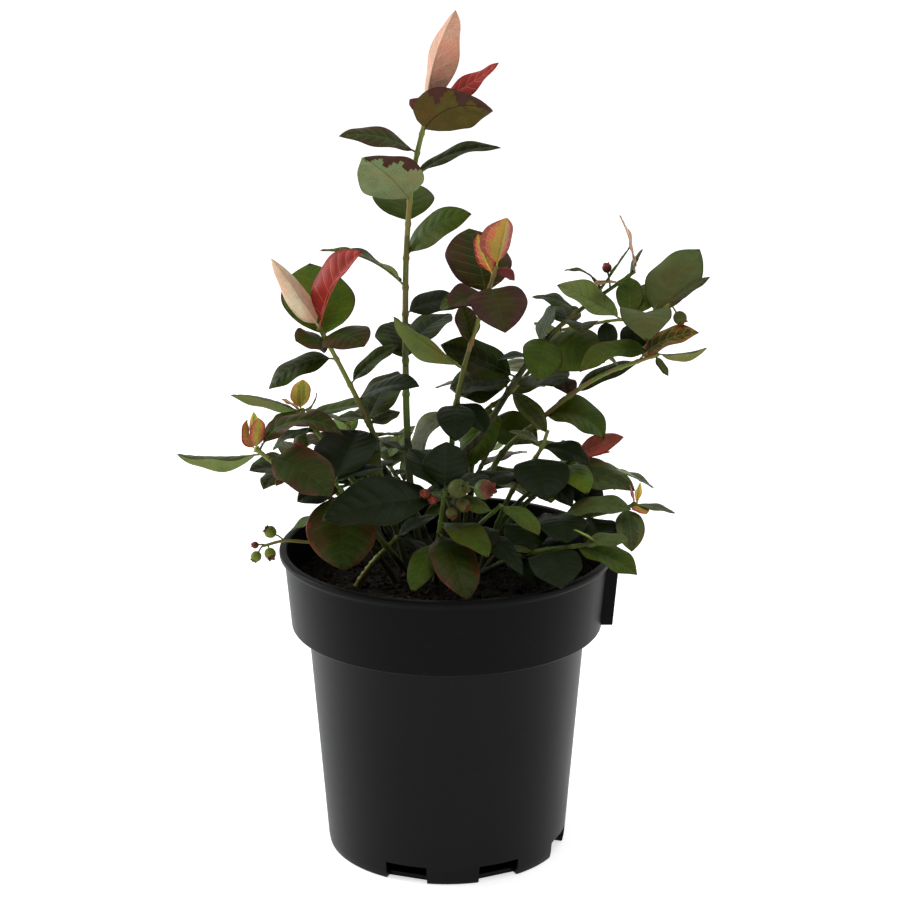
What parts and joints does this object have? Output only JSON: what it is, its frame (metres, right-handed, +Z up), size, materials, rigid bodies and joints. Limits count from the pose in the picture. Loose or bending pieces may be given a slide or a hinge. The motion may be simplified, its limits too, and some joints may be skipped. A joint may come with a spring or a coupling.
{
  "type": "blueberry bush in a pot",
  "caption": "Young blueberry bush with slender canes, leathery oval leaves, pale and red new tips and a few green berries, in a round filled nursery pot.",
  "frame": {"origin": "middle of the pot's flat underside", "axes": "+Z up through the pot, +X to the bush's right seen from its front, +Y to its back"},
  "size_m": [0.2776, 0.1944, 0.4578],
  "materials": {
    "pot": "satin",
    "potting_mix": "matte",
    "green_bark": "satin",
    "old_bark": "matte",
    "leaves": "satin",
    "new_leaves": "satin",
    "berries": "satin"
  },
  "bodies": {
    "root": {"pot": "pot", "potting_mix": "potting_mix", "tall_cane": "green_bark", "centre_cane": "green_bark", "old_cane": "old_bark", "right_cane": "green_bark", "left_cane": "green_bark", "low_left_cane": "green_bark", "back_left_cane": "green_bark", "right_centre_cane": "green_bark", "middle_right_cane": "green_bark", "low_right_cane": "green_bark", "front_right_cane": "green_bark", "front_middle_cane": "green_bark", "front_cane": "green_bark", "front_left_cane": "green_bark", "sucker_cane": "green_bark", "back_cane": "green_bark", "back_middle_cane": "green_bark", "back_right_cane": "green_bark", "behind_right_cane": "green_bark", "behind_left_cane": "green_bark", "far_left_cane": "green_bark", "tall_shoot": "leaves", "centre_shoot": "leaves", "old_shoot": "leaves", "right_shoot": "leaves", "left_shoot": "leaves", "low_left_shoot": "leaves", "back_left_shoot": "leaves", "right_centre_shoot": "leaves", "middle_right_shoot": "leaves", "low_right_shoot": "leaves", "front_right_shoot": "leaves", "front_middle_shoot": "leaves", "front_shoot": "leaves", "front_left_shoot": "leaves", "sucker_shoot": "leaves", "back_shoot": "leaves", "back_middle_shoot": "leaves", "back_right_shoot": "leaves", "behind_right_shoot": "leaves", "behind_left_shoot": "leaves", "far_left_shoot": "leaves"}
  },
  "joints": []
}
